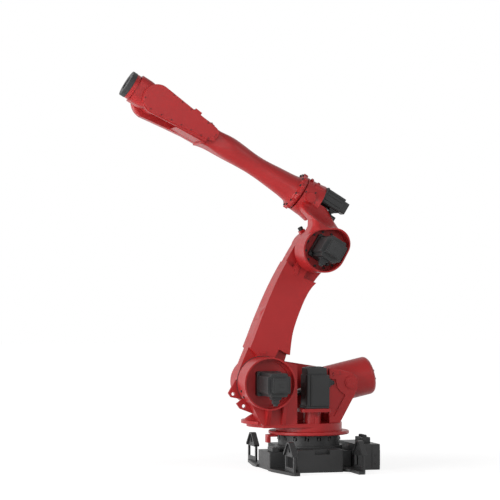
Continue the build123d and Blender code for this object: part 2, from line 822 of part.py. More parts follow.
def cup_outline(y, wall):
    with BuildSketch(side_plane(y)) as outline:
        with Locations((cup_x, cup_z)):
            Circle(elbow_bore + wall)
        with Locations((small_x, small_z)):
            Circle(elbow_bore_small + wall)
        make_hull()
    return outline.sketch


cover_x, cover_z = fore_point(cover_along, -6)
with BuildPart() as elbow_casting:
    add(cup_outline(elbow_outer, elbow_wall))
    extrude(amount=elbow_outer - elbow_inner, dir=(0, -1, 0))
    # neck, in shares of the elbow's rise below the forearm's axis
    sections = (
        (-0.98, elbow_inner + 2, elbow_outer - 2, -150, 170, 60),
        (-0.66, elbow_inner + 2, elbow_outer - 4, -150, 176, 60),
        (-0.52, elbow_inner + 2, 322, -132, 200, 60),
        (-0.47, elbow_inner + 2, 290, -118, 240, 60),
        (-0.38, 40, 226, -88, 272, 60),
        (-0.28, 8, 176, -38, 288, 60),
        (-0.14, 4, 140, 30, 292, 60),
        (-0.02, 0, 118, 86, 294, 50),
    )
    for share, y_low, y_high, along_low, along_high, corner in sections:
        x_mid, z_mid = fore_point((along_low + along_high) / 2, share * elbow_rise)
        plane = Plane(origin=(x_mid, (y_low + y_high) / 2, z_mid), x_dir=(0, 1, 0), z_dir=(-uz, 0, ux))
        with BuildSketch(plane):
            RectangleRounded(y_high - y_low, along_high - along_low, corner)
    loft(ruled=True)
    # housing on the forearm's axis, a little wider at its rear
    for along, radius in ((house_rear, house_radius + 4), (house_rear + 60, house_radius - 6),
                          (house_front - 52, house_radius - 8)):
        with BuildSketch(fore_section(along)):
            Circle(radius)
    loft(ruled=True)
    with BuildSketch(fore_section(house_front - 52)):
        Circle(house_radius - 8)
    with BuildSketch(fore_section(house_front - run_gap / 2)):
        Circle(seam_radius)
    loft()
    add(cup_outline(elbow_outer, 0))
    extrude(amount=elbow_cup_depth, dir=(0, -1, 0), mode=Mode.SUBTRACT)
    # flat boss for the round cover
    with BuildSketch(side_plane(house_radius + 3)):
        with Locations((cover_x, cover_z)):
            Circle(cover_radius + 4)
    extrude(amount=40)
finish(elbow_casting, "elbow_casting")

elbow_spin = Plane(origin=(elbow_x, elbow_outer - elbow_cup_depth + 40, elbow_z),
                   x_dir=(ux, 0, uz), z_dir=(0, -1, 0))
finish(cup_motor(elbow_spin, 40.0, 236.0, 42.0), "elbow_motor")


def wrist_motor(y, across, half, long, label):
    """A wrist motor behind the housing: flange, body and smaller end cap."""
    with BuildPart() as piece:
        with BuildSketch(fore_section(house_rear - seat_gap, y, across)):
            RectangleRounded(2 * half + 8, 2 * half + 8, 10)
        extrude(amount=-14)
        with BuildSketch(fore_section(house_rear - 14, y, across)):
            RectangleRounded(2 * half, 2 * half, 14)
        extrude(amount=-long)
        with BuildSketch(fore_section(house_rear - 14 - long, y, across)):
            RectangleRounded(1.5 * half, 1.5 * half, 8)
        extrude(amount=-44)
    finish(piece, label)


wrist_motor(54, 74, 59, 150, "roll_motor")
wrist_motor(-68, 78, 50, 140, "bend_motor")
wrist_motor(-60, -34, 46, 140, "turn_motor")

with BuildPart() as elbow_cover:
    with BuildSketch(side_plane(house_radius + 3 + 8)):
        with Locations((cover_x, cover_z)):
            Circle(cover_radius)
    extrude(amount=8)
finish(elbow_cover, "elbow_cover")

# Forearm: lobed flange, tapering tube, and the fork
with BuildPart() as forearm:
    with BuildSketch(fore_section(house_front + run_gap / 2)):
        Circle(seam_radius)
    extrude(amount=12)
    with BuildSketch(fore_section(house_front + 12)):
        Circle(flange_radius)
        with PolarLocations(lobe_circle, lobe_count, start_angle=15):
            Circle(lobe_radius)
    extrude(amount=flange_thick)
    tube = (
        (house_front + 14, 262, 262, 129, 0, -2),
        (house_front + 44, 226, 226, 111, 0, -3),
        (400, 206, 204, 101, 0, -3),
        (600, 166, 162, 80, 0, -4),
        (800, 164, 156, 77, 0, -4),
        (1000, 204, 164, 60, -14, -6),
        (fork_root + 24, 268, 184, 34, -26, -9),
    )
    for along, wide, tall, corner, y_mid, n_mid in tube:
        with BuildSketch(fore_section(along)):
            with Locations((y_mid, n_mid)):
                RectangleRounded(wide, tall, corner)
    loft()
    # journal in the elbow housing
    with BuildSketch(fore_section(house_front - run_gap / 2 + seat_gap)):
        Circle(roll_journal)
    extrude(amount=run_gap)
    # far arm of the fork
    far_x = fore_length + far_shift
    with BuildSketch(fore_side(-fork_inner)):
        with BuildLine():
            Polyline((fork_root, -84), (fork_root + 138, -92), (fork_root + 300, -112), (far_x, -far_round - 6))
            ThreePointArc((far_x, -far_round - 6), (far_x + far_round, -6), (far_x, far_round - 6))
            Polyline((far_x, far_round - 6), (fork_root, 76), (fork_root, -84))
        make_face()
    extrude(amount=fork_far - fork_inner)
    # near arm behind its cover
    near_round = cover_round + 4
    with BuildSketch(fore_side(fork_near)):
        with BuildLine():
            Polyline((fork_root, -70), (fore_length, -near_round))
            ThreePointArc((fore_length, -near_round), (fore_length + near_round, 0), (fore_length, near_round))
            Polyline((fore_length, near_round), (fork_root, 62), (fork_root, -70))
        make_face()
    extrude(amount=fork_near - fork_inner)
    # solid root between both arms, ending in a curved slot
    with BuildSketch(fore_side(fork_near - 2)):
        with BuildLine():
            Polyline((fork_root, 66), (fork_root, -82), (fork_slot - 4, -98))
            ThreePointArc((fork_slot - 4, -98), (fork_slot - 34, -8), (fork_slot - 4, 82))
            Line((fork_slot - 4, 82), (fork_root, 66))
        make_face()
    extrude(amount=fork_near + fork_far - 6)
    # low boss on the fork's top edge
    with BuildSketch(fore_side(fork_near - 4)):
        with BuildLine():
            Polyline((fork_slot - 132, 50), (fork_slot - 108, 92), (fork_slot - 64, 96), (fork_slot - 40, 70),
                     (fork_slot - 60, 40), close=True)
        make_face()
    extrude(amount=70)
finish(forearm, "forearm")

with BuildPart() as fork_cover:
    with BuildSketch(fore_side(fork_near + cover_thick + seat_gap)):
        with Locations((fore_length, 3)):
            Circle(cover_round)
        with Locations((fore_length - cover_length, 5)):
            Circle(cover_small)
        make_hull()
    extrude(amount=cover_thick)
    fillet(fork_cover.faces().sort_by(Axis.Y)[-1].edges(), 3)
finish(fork_cover, "fork_cover_left")

with BuildPart() as fork_cover_right:
    with BuildSketch(fore_side(-fork_far - seat_gap)):
        with Locations((fore_length + far_shift, -6)):
            Circle(far_round - 18)
        with Locations((fore_length - cover_length + 40, -4)):
            Circle(cover_small + 6)
        make_hull()
    extrude(amount=cover_thick)
    fillet(fork_cover_right.faces().sort_by(Axis.Y)[0].edges(), 3)
finish(fork_cover_right, "fork_cover_right")

# Wrist: drum on the fifth axis, square collar, neck ring
with BuildPart() as wrist:
    with BuildSketch(fore_side(wrist_half)):
        with Locations((fore_length, 0)):
            Circle(wrist_round)
    extrude(amount=2 * wrist_half)
    with BuildSketch(fore_section(fore_length + 40)):
        RectangleRounded(2 * wrist_half, 2 * wrist_round - 10, 30)
    with BuildSketch(fore_section(fore_length + collar_back)):
        RectangleRounded(2 * wrist_half, 2 * collar_half, 56)
    loft()
    with BuildSketch(fore_section(fore_length + collar_back)):
        RectangleRounded(2 * wrist_half, 2 * collar_half, 56)
    extrude(amount=collar_front - collar_back)
    with BuildSketch(fore_section(fore_length + collar_front)):
        Circle(neck_ring - 8)
    extrude(amount=6)
    with BuildSketch(fore_section(fore_length + collar_front + 6)):
        Circle(neck_ring)
    extrude(amount=tool_reach - tool_thick - collar_front - 6 - seat_gap)
    # journals in the fork
    with BuildSketch(fore_side(fork_inner - seat_gap)):
        with Locations((fore_length, 0)):
            Circle(wrist_journal)
    extrude(amount=2 * (fork_inner - seat_gap))
finish(wrist, "wrist")

with BuildPart() as tool_flange:
    with BuildSketch(fore_section(fore_length + tool_reach - tool_thick)):
        Circle(tool_radius)
    extrude(amount=tool_thick)
    rims = tool_flange.edges().filter_by(GeomType.CIRCLE)
    fillet(rims, 3)
    with BuildSketch(fore_section(fore_length + tool_reach - tool_recess)):
        Circle(tool_bore)
    extrude(amount=tool_recess, mode=Mode.SUBTRACT)
    with BuildSketch(fore_section(fore_length + tool_reach - 18)):
        with PolarLocations(tool_bolt_circle, 11, start_angle=15):
            Circle(5)
    extrude(amount=18, mode=Mode.SUBTRACT)
finish(tool_flange, "tool_flange")
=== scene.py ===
import json
import math

import bpy
from mathutils import Matrix, Vector

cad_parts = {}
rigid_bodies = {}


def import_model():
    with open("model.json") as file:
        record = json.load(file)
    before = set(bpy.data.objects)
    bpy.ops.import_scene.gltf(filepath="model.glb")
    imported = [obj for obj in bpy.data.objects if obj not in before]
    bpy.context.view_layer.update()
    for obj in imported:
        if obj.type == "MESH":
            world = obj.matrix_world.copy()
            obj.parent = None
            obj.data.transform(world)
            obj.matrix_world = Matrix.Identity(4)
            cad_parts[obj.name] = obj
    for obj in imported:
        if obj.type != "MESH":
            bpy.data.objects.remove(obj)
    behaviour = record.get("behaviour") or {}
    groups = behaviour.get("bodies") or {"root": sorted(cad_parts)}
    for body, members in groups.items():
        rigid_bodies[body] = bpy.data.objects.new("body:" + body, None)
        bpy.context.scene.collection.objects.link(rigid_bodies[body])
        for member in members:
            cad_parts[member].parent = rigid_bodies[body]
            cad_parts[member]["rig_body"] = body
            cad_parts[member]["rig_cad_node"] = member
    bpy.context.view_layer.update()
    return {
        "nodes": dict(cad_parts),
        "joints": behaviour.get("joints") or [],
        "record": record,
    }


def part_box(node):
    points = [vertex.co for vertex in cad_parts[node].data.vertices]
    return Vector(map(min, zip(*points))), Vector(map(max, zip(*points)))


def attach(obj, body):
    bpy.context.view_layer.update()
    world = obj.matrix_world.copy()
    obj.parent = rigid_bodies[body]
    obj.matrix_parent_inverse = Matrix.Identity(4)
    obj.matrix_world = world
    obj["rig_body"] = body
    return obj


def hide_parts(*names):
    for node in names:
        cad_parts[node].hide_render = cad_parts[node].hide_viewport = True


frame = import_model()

cadNodes = frame["nodes"]
scene = bpy.context.scene
scene.view_settings.view_transform = "Standard"

# places worked out from the joints; metres, +X the robot's front, +Y its left
jointPlace = {joint["name"]: Vector(joint["pos_m"]) for joint in frame["joints"]}
jointAxis = {joint["name"]: Vector(joint["axis"]) for joint in frame["joints"]}
shoulder = jointPlace["axis_2"]
elbow = jointPlace["axis_3"]
trunnion = jointPlace["balancer_swing"]
foreAlong = jointAxis["axis_4"]
foreAcross = Vector((-foreAlong.z, 0, foreAlong.x))
foreFoot = elbow + foreAcross * foreAcross.dot(jointPlace["axis_4"] - elbow)
rodAlong = (jointPlace["rod_swing"] - trunnion).normalized()
left = Vector((0, 1, 0))
ahead = Vector((1, 0, 0))
up = Vector((0, 0, 1))
steep = 0.9  # a direction with more than this share of Z counts as upright


# a point beside the forearm's axis
def foreSpot(along, across, side):
    return foreFoot + foreAlong * along + foreAcross * across + left * side


# a point to the left of a joint, at its height
def beside(centre, side):
    return Vector((centre.x, side, centre.z))


# local Z points along facing, local Y as near to top as it can
def aimed(place, facing, top=None):
    zAxis = facing.normalized()
    guide = top or (up if abs(zAxis.z) < steep else ahead)
    xAxis = guide.cross(zAxis).normalized()
    yAxis = zAxis.cross(xAxis)
    turn = Matrix((xAxis, yAxis, zAxis)).transposed().to_4x4()
    return Matrix.Translation(place) @ turn


def turned(degrees, axis="Z"):
    return Matrix.Rotation(math.radians(degrees), 4, axis)


def moved(x=0.0, y=0.0, z=0.0):
    return Matrix.Translation((x, y, z))


# the angles of a ring of bolts, in degrees
def ringAngles(ring):
    return [ring.get("start", 0) + 360 / ring["count"] * index for index in range(ring["count"])]


# camera: seen from the robot's left, a little ahead of it
cameraView = {"place": (4.4918, 14.8714, 1.392), "pitch": 90.828, "heading": 164.8, "lens": 150.48,
              "sensor": 36.0, "farEnd": 100}
cameraTurn = (math.radians(cameraView["pitch"]), 0, math.radians(cameraView["heading"]))
bpy.ops.object.camera_add(location=cameraView["place"], rotation=cameraTurn)
camera = bpy.context.object
camera.name = "photoCamera"
camera.data.lens = cameraView["lens"]
camera.data.sensor_width = cameraView["sensor"]
camera.data.clip_end = cameraView["farEnd"]
scene.camera = camera
print("camera placed")


# shader node groups
def newGroup(name, inputs, outputs):
    group = bpy.data.node_groups.new(name, "ShaderNodeTree")
    for label, kind, value in inputs:
        socket = group.interface.new_socket(label, in_out="INPUT", socket_type=kind)
        socket.default_value = value
    for label, kind in outputs:
        group.interface.new_socket(label, in_out="OUTPUT", socket_type=kind)
    source = group.nodes.new("NodeGroupInput")
    sink = group.nodes.new("NodeGroupOutput")
    return group, source.outputs, sink.inputs


# a value goes into the socket as it is, another socket is linked to it
def feed(tree, socket, value):
    if isinstance(value, (int, float)):
        socket.default_value = value
    else:
        tree.links.new(value, socket)


def noiseNode(tree, coords, size, detail, rough=0.5):
    noise = tree.nodes.new("ShaderNodeTexNoise")
    noise.inputs["Detail"].default_value = detail
    noise.inputs["Roughness"].default_value = rough
    feed(tree, noise.inputs["Scale"], size)
    tree.links.new(coords, noise.inputs["Vector"])
    return noise.outputs["Fac"]


def mathNode(tree, operation, first, second):
    node = tree.nodes.new("ShaderNodeMath")
    node.operation = operation
    feed(tree, node.inputs[0], first)
    feed(tree, node.inputs[1], second)
    return node.outputs[0]


def spanNode(tree, value, span, toLow, toHigh):
    node = tree.nodes.new("ShaderNodeMapRange")
    node.inputs["From Min"].default_value, node.inputs["From Max"].default_value = span
    feed(tree, node.inputs["To Min"], toLow)
    feed(tree, node.inputs["To Max"], toHigh)
    tree.links.new(value, node.inputs["Value"])
    return node.outputs["Result"]


def shadedColor(tree, color, shade):
    tint = tree.nodes.new("ShaderNodeHueSaturation")
    tree.links.new(color, tint.inputs["Color"])
    tree.links.new(shade, tint.inputs["Value"])
    return tint.outputs["Color"]


def objectCoords(tree):
    return tree.nodes.new("ShaderNodeTexCoord").outputs["Object"]


surfaceOutputs = (("Color", "NodeSocketColor"), ("Roughness", "NodeSocketFloat"),
                  ("Height", "NodeSocketFloat"))

# sprayed paint over a sand casting: slow shade drift, orange peel and faint cast pitting
castLook = {"slowSize": 3.1, "slowDetail": 3, "slowShare": 0.7,
            "fineSize": 46.0, "fineDetail": 4, "fineShare": 0.3, "span": (0.3, 0.7), "peelDetail": 2,
            "pitSize": 130.0, "pitDetail": 3, "pitRough": 0.6, "pitSpan": (0.62, 0.75), "pitDepth": -0.5}
castPaint, given, made = newGroup(
    "castPaint",
    (("Color", "NodeSocketColor", (0.4, 0.04, 0.04, 1)), ("Drift", "NodeSocketFloat", 0.06),
     ("Peel Size", "NodeSocketFloat", 420.0), ("Gloss Low", "NodeSocketFloat", 0.34),
     ("Gloss High", "NodeSocketFloat", 0.46)),
    surfaceOutputs)
coords = objectCoords(castPaint)
slow = noiseNode(castPaint, coords, castLook["slowSize"], castLook["slowDetail"])
fine = noiseNode(castPaint, coords, castLook["fineSize"], castLook["fineDetail"])
blendShade = mathNode(castPaint, "ADD", mathNode(castPaint, "MULTIPLY", slow, castLook["slowShare"]),
                      mathNode(castPaint, "MULTIPLY", fine, castLook["fineShare"]))
swing = spanNode(castPaint, blendShade, castLook["span"], -1.0, 1.0)
shade = mathNode(castPaint, "ADD", mathNode(castPaint, "MULTIPLY", swing, given["Drift"]), 1.0)
gloss = spanNode(castPaint, fine, castLook["span"], given["Gloss Low"], given["Gloss High"])
peel = noiseNode(castPaint, coords, given["Peel Size"], castLook["peelDetail"])
pitNoise = noiseNode(castPaint, coords, castLook["pitSize"], castLook["pitDetail"], castLook["pitRough"])
pits = spanNode(castPaint, pitNoise, castLook["pitSpan"], 0.0, castLook["pitDepth"])
castPaint.links.new(shadedColor(castPaint, given["Color"], shade), made["Color"])
castPaint.links.new(gloss, made["Roughness"])
castPaint.links.new(mathNode(castPaint, "ADD", peel, pits), made["Height"])

# fine turning or grinding marks round or along a metal piece
machinedLook = {"stretch": (0.02, 1.0, 0.02), "markDetail": 3, "smearSize": 24.0, "smearDetail": 4,
                "span": (0.3, 0.7), "shadeLow": 0.88, "shadeHigh": 1.1}
machined, given, made = newGroup(
    "machinedMetal",
    (("Color", "NodeSocketColor", (0.5, 0.5, 0.5, 1)), ("Mark Size", "NodeSocketFloat", 900.0),
     ("Gloss Low", "NodeSocketFloat", 0.22), ("Gloss High", "NodeSocketFloat", 0.4)),
    surfaceOutputs)
coords = objectCoords(machined)
stretch = machined.nodes.new("ShaderNodeMapping")
stretch.inputs["Scale"].default_value = machinedLook["stretch"]
machined.links.new(coords, stretch.inputs["Vector"])
marks = noiseNode(machined, stretch.outputs["Vector"], given["Mark Size"], machinedLook["markDetail"])
smear = noiseNode(machined, coords, machinedLook["smearSize"], machinedLook["smearDetail"])
shade = spanNode(machined, smear, machinedLook["span"], machinedLook["shadeLow"], machinedLook["shadeHigh"])
gloss = spanNode(machined, smear, machinedLook["span"], given["Gloss Low"], given["Gloss High"])
machined.links.new(shadedColor(machined, given["Color"], shade), made["Color"])
machined.links.new(gloss, made["Roughness"])
machined.links.new(marks, made["Height"])

shaderLook = {"bumpStrength": 0.6, "specular": 0.31}


def newMaterial(name, group, values, metal=0.0, depth=0.00004):
    material = bpy.data.materials.new(name)
    material.use_nodes = True
    tree = material.node_tree
    shader = tree.nodes["Principled BSDF"]
    effect = tree.nodes.new("ShaderNodeGroup")
    effect.node_tree = group
    for label, value in values.items():
        effect.inputs[label].default_value = value
    tree.links.new(effect.outputs["Color"], shader.inputs["Base Color"])
    tree.links.new(effect.outputs["Roughness"], shader.inputs["Roughness"])
    bump = tree.nodes.new("ShaderNodeBump")
    bump.inputs["Distance"].default_value = depth
    bump.inputs["Strength"].default_value = shaderLook["bumpStrength"]
    tree.links.new(effect.outputs["Height"], bump.inputs["Height"])
    tree.links.new(bump.outputs["Normal"], shader.inputs["Normal"])
    shader.inputs["Metallic"].default_value = metal
    shader.inputs["Specular IOR Level"].default_value = shaderLook["specular"]
    return material


redPaint = newMaterial("redPaint", castPaint, {"Color": (0.35, 0.014, 0.015, 1)})
redBolt = newMaterial("redBolt", castPaint, {"Color": (0.13, 0.008, 0.009, 1)})
blackFinish = {"Color": (0.019, 0.019, 0.0195, 1), "Drift": 0.1, "Gloss Low": 0.38, "Gloss High": 0.52}
blackPaint = newMaterial("blackPaint", castPaint, blackFinish)
motorFinish = {"Color": (0.017, 0.0175, 0.018, 1), "Drift": 0.08, "Peel Size": 700.0,
               "Gloss Low": 0.42, "Gloss High": 0.55}
motorBlack = newMaterial("motorBlack", castPaint, motorFinish)
plugFinish = {"Color": (0.014, 0.014, 0.015, 1), "Drift": 0.05, "Peel Size": 1100.0,
              "Gloss Low": 0.45, "Gloss High": 0.6}
plugPlastic = newMaterial("plugPlastic", castPaint, plugFinish, depth=0.00002)
rubberFinish = {"Color": (0.018, 0.018, 0.018, 1), "Drift": 0.2, "Peel Size": 260.0,
                "Gloss Low": 0.68, "Gloss High": 0.85}
stopRubber = newMaterial("stopRubber", castPaint, rubberFinish, depth=0.0001)
# the balancer rod's steel is far darker than bright ground steel: painted shade for the shadow the rod lies
# in between the tower and the motor
shadeDarkenedRodFinish = {"Color": (0.20, 0.20, 0.196, 1)}
shadeDarkenedRodSteel = newMaterial("shadeDarkenedRodSteel", machined, shadeDarkenedRodFinish, metal=1.0, depth=0.00001)
flangeFinish = {"Color": (0.022, 0.022, 0.023, 1), "Gloss Low": 0.42, "Gloss High": 0.58}
darkSteel = newMaterial("darkSteel", machined, flangeFinish, depth=0.00001)
boltFinish = {"Color": (0.028, 0.026, 0.026, 1), "Gloss Low": 0.35, "Gloss High": 0.5}
boltSteel = newMaterial("boltSteel", machined, boltFinish, metal=0.3, depth=0.00001)
slotMaterial = {"red_paint": redPaint, "black_paint": blackPaint, "motor_black": motorBlack,
                "rubber": stopRubber, "bright_rod": shadeDarkenedRodSteel, "dark_flange": darkSteel}
slotOf = {entry["node"]: entry["material_slot"] for entry in frame["record"]["subparts"]}
for nodeName, slotName in slotOf.items():
    node = cadNodes[nodeName]
    node.data.materials.clear()
    node.data.materials.append(slotMaterial[slotName])
print("materials made")

# modelling helpers
roundShape = {"discSides": 64, "boltSides": 18, "segments": 2, "smooth": 32, "keepWeight": 100}


def startAlone(piece):
    bpy.ops.object.select_all(action="DESELECT")
    piece.select_set(True)
    bpy.context.view_layer.objects.active = piece


# leaves the piece in edit mode with just those faces selected
def pickFaces(piece, wanted):
    startAlone(piece)
    bpy.ops.object.mode_set(mode="EDIT")
    bpy.ops.mesh.select_mode(type="FACE")
    bpy.ops.mesh.select_all(action="DESELECT")
    bpy.ops.object.mode_set(mode="OBJECT")
    for face in piece.data.polygons:
        face.select = wanted(face)
    bpy.ops.object.mode_set(mode="EDIT")


def topFace(face):
    return face.normal.z > steep and face.center.z > 0


def rise(height):
    bpy.ops.mesh.extrude_region_move(TRANSFORM_OT_translate={"value": (0, 0, height)})


def smoothed():
    bpy.ops.object.shade_smooth_by_angle(angle=math.radians(roundShape["smooth"]))


# rounds the sharp edges where a width is given, and evens out the shading
def endEdit(piece, width=0.0, angle=40):
    startAlone(piece)
    if width:
        bevel = piece.modifiers.new("softEdges", "BEVEL")
        bevel.width = width
        bevel.segments = roundShape["segments"]
        bevel.limit_method = "ANGLE"
        bevel.angle_limit = math.radians(angle)
        bpy.ops.object.modifier_apply(modifier=bevel.name)
    smoothed()
    even = piece.modifiers.new("evenNormals", "WEIGHTED_NORMAL")
    even.weight = roundShape["keepWeight"]
    even.keep_sharp = True
    bpy.ops.object.modifier_apply(modifier=even.name)


# puts the piece in place and keeps the place in its mesh
def layOut(piece, matrix):
    startAlone(piece)
    piece.matrix_world = matrix @ piece.matrix_world
    bpy.ops.object.transform_apply(location=True, rotation=True, scale=True)


def settle(piece, name, body, material):
    piece.name = name
    piece.data.name = name
    piece.data.materials.clear()
    piece.data.materials.append(material)
    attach(piece, body)


def joined(pieces):
    startAlone(pieces[0])
    for piece in pieces:
        piece.select_set(True)
    if len(pieces) > 1:
        bpy.ops.object.join()
    return pieces[0]


# copies one piece to every place and joins the copies
def spread(piece, places, name, body, material):
    twins = []
    for matrix in places:
        twin = piece.copy()
        twin.data = piece.data.copy()
        scene.collection.objects.link(twin)
        twin.data.transform(matrix)
        twins.append(twin)
    bpy.data.objects.remove(piece)
    whole = joined(twins)
    smoothed()
    settle(whole, name, body, material)


def spreadBolts(bolt, places, name, body):
    spread(bolt, places, name, body, boltSteel)


# a closed or open cylinder standing on the height foot
def addCylinder(sides, radius, depth, foot=0.0, ends="NGON"):
    bpy.ops.object.select_all(action="DESELECT")
    bpy.ops.mesh.primitive_cylinder_add(vertices=sides, radius=radius, depth=depth, end_fill_type=ends,
                                        location=(0, 0, foot + depth / 2))
    piece = bpy.context.object
    bpy.ops.object.transform_apply(location=True, rotation=False, scale=False)
    return piece


# cap screw standing on the origin with a socket in its head
boltHead = {"chamfer": 0.14, "wall": 0.32, "socket": 0.45}


def socketBolt(size):
    bolt = addCylinder(size.get("sides", roundShape["boltSides"]), size["radius"], size["height"])
    pickFaces(bolt, topFace)
    bpy.ops.mesh.bevel(offset=size["radius"] * boltHead["chamfer"], segments=roundShape["segments"])
    bpy.ops.object.mode_set(mode="OBJECT")
    highest = max(face.center.z for face in bolt.data.polygons)
    pickFaces(bolt, lambda face: face.normal.z > steep and face.center.z > highest - 1e-6)
    bpy.ops.mesh.inset(thickness=size["radius"] * boltHead["wall"])
    rise(-size["height"] * boltHead["socket"])
    bpy.ops.object.mode_set(mode="OBJECT")
    return bolt


# hexagon head on a washer
hexHead = {"rim": 0.12, "crown": 0.12, "washer": 1.25, "washerSides": 20}


def hexBolt(size):
    head = addCylinder(6, size["radius"], size["height"], size["washer"])
    pickFaces(head, topFace)
    bpy.ops.mesh.inset(thickness=size["radius"] * hexHead["rim"])
    rise(size["height"] * hexHead["crown"])
    bpy.ops.object.mode_set(mode="OBJECT")
    washer = addCylinder(hexHead["washerSides"], size["radius"] * hexHead["washer"], size["washer"])
    return joined([head, washer])


# a round cap whose face steps in and out: (inset, rise) pairs
def turnedDisc(shape):
    disc = addCylinder(roundShape["discSides"], shape["radius"], shape["depth"])
    pickFaces(disc, topFace)
    for inset, height in shape["steps"]:
        bpy.ops.mesh.inset(thickness=inset)
        rise(height)
    bpy.ops.object.mode_set(mode="OBJECT")
    return disc


# a block on the origin whose top face steps in and out
def shapedBlock(shape):
    size = shape["size"]
    bpy.ops.object.select_all(action="DESELECT")
    bpy.ops.mesh.primitive_cube_add(size=1, location=(0, 0, size[2] / 2), scale=size)
    block = bpy.context.object
    bpy.ops.object.transform_apply(location=True, rotation=False, scale=True)
    pickFaces(block, topFace)
    for inset, height in shape["steps"]:
        bpy.ops.mesh.inset(thickness=inset)
        rise(height)
    bpy.ops.object.mode_set(mode="OBJECT")
    endEdit(block, shape["edge"])
    return block


def setBlock(shape, matrix, name, body, material):
    block = shapedBlock(shape)
    layOut(block, matrix)
    settle(block, name, body, material)


def setDisc(shape, matrix, name, body, material):
    disc = turnedDisc(shape)
    layOut(disc, matrix)
    endEdit(disc, shape.get("edge", 0.0))
    settle(disc, name, body, material)


# cast and machined bodies with softened edges, in place of the sharp ones;
# the forearm's mesh is too fine for a bevel, so it is only merged
softening = {"merge": 0.00002, "flat": 0.5, "angle": 35}
softEdges = {
    "base_casting": 0.004, "base_neck": 0.002, "connection_box": 0.004, "connector_block": 0.004,
    "stop_block": 0.004, "foot_front_left": 0.002, "foot_front_right": 0.002, "foot_rear_left": 0.002,
    "foot_rear_right": 0.002, "column": 0.004, "balancer_cheek_left": 0.003, "balancer_cheek_right": 0.003,
    "trunnion_cap_left": 0.0015, "trunnion_cap_right": 0.0015, "swing_stop": 0.003, "swing_gear_seat": 0.003,
    "swing_motor": 0.003, "shoulder_motor": 0.003, "lock_lug_column": 0.002, "balancer_cylinder": 0.003,
    "lower_arm": 0.005, "lock_lug_arm": 0.002, "elbow_stop_bracket": 0.002, "elbow_casting": 0.005,
    "elbow_motor": 0.003, "roll_motor": 0.003, "bend_motor": 0.003, "turn_motor": 0.003,
    "elbow_cover": 0.002, "forearm": 0.0, "wrist": 0.003, "tool_flange": 0.001,
}
bodyOf = {name: node["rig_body"] for name, node in cadNodes.items()}
for nodeName, width in softEdges.items():
    piece = cadNodes[nodeName].copy()
    piece.data = piece.data.copy()
    piece.parent = None
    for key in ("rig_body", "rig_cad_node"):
        if key in piece:
            del piece[key]
    scene.collection.objects.link(piece)
    startAlone(piece)
    bpy.ops.object.mode_set(mode="EDIT")
    bpy.ops.mesh.select_all(action="SELECT")
    bpy.ops.mesh.remove_doubles(threshold=softening["merge"])
    if width:
        bpy.ops.mesh.dissolve_limited(angle_limit=math.radians(softening["flat"]))
    bpy.ops.object.mode_set(mode="OBJECT")
    endEdit(piece, width, softening["angle"])
    settle(piece, nodeName + "Soft", bodyOf[nodeName], slotMaterial[slotOf[nodeName]])
    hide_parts(nodeName)
print("castings softened")

# forearm: bolts on the lobed flange and on the fork's covers
flangeBolts = {"radius": 0.0085, "height": 0.009, "ring": 0.128, "count": 12, "start": 15, "along": 0.360}
places = []
for degrees in ringAngles(flangeBolts):
    angle = math.radians(degrees)
    across = flangeBolts["ring"] * math.sin(angle)
    side = flangeBolts["ring"] * math.cos(angle)
    places.append(aimed(foreSpot(flangeBolts["along"], across, side), foreAlong, left))
spreadBolts(socketBolt(flangeBolts), places, "flangeBolts", "forearm")

# the far cover is a little narrower and starts further out
coverBolts = {"radius": 0.0056, "height": 0.0035, "face": 0.1243, "farFace": -0.1773, "farShare": 0.93,
              "farStart": 1.15,
              "spots": ((1.687, -0.038), (1.610, -0.087), (1.521, -0.083), (1.440, -0.074), (1.358, -0.066),
                        (1.279, -0.059), (1.195, -0.052), (1.136, -0.040), (1.515, 0.090), (1.436, 0.080),
                        (1.355, 0.070), (1.195, 0.052), (1.100, 0.010))}
places = [aimed(foreSpot(along, across, coverBolts["face"]), left) for along, across in coverBolts["spots"]]
spread(socketBolt(coverBolts), places, "coverBolts", "forearm", redBolt)
places = [aimed(foreSpot(along, across * coverBolts["farShare"], coverBolts["farFace"]), -left)
          for along, across in coverBolts["spots"] if along > coverBolts["farStart"]]
spread(socketBolt(coverBolts), places, "farCoverBolts", "forearm", redBolt)

# the tab at the cover's foot, and a block that brings the boss on the fork's top edge out to the cover
coverTab = {"size": (0.034, 0.018, 0.005), "steps": ((0.004, 0.0015),), "edge": 0.0015,
            "along": 1.103, "across": -0.024, "sink": 0.0, "turn": -40}
forkBoss = {"size": (0.056, 0.034, 0.0160), "steps": ((0.003, 0.0005),), "edge": 0.004,
            "along": 1.299, "across": 0.077, "sink": 0.0175, "turn": -5}
for name, block in (("coverTab", coverTab), ("forkBoss", forkBoss)):
    spot = foreSpot(block["along"], block["across"], coverBolts["face"] - block["sink"])
    place = aimed(spot, left, foreAcross) @ turned(block["turn"])
    setBlock(block, place, name, "forearm", redPaint)

# a plain register inside the tool flange's recess
toolRegister = {"radius": 0.0485, "depth": 0.002, "steps": ((0.006, 0.0015), (0.012, -0.002), (0.006, 0.001)),
                "floor": 1.834}
setDisc(toolRegister, aimed(foreSpot(toolRegister["floor"], 0, 0), foreAlong, left),
        "toolRegister", "tool_flange", darkSteel)
print("forearm dressed")

# elbow housing: motor boss, small knobs, screws round the cover, the bolt ring in the cup
motorBoss = {"radius": 0.044, "depth": 0.088, "steps": ((0.006, 0.004), (0.010, -0.003)), "edge": 0.002,
             "along": 0.172, "across": 0.080, "side": 0.068}
bossSpot = foreSpot(motorBoss["along"], motorBoss["across"], motorBoss["side"])
setDisc(motorBoss, aimed(bossSpot, foreAlong, left), "motorBoss", "elbow", redPaint)

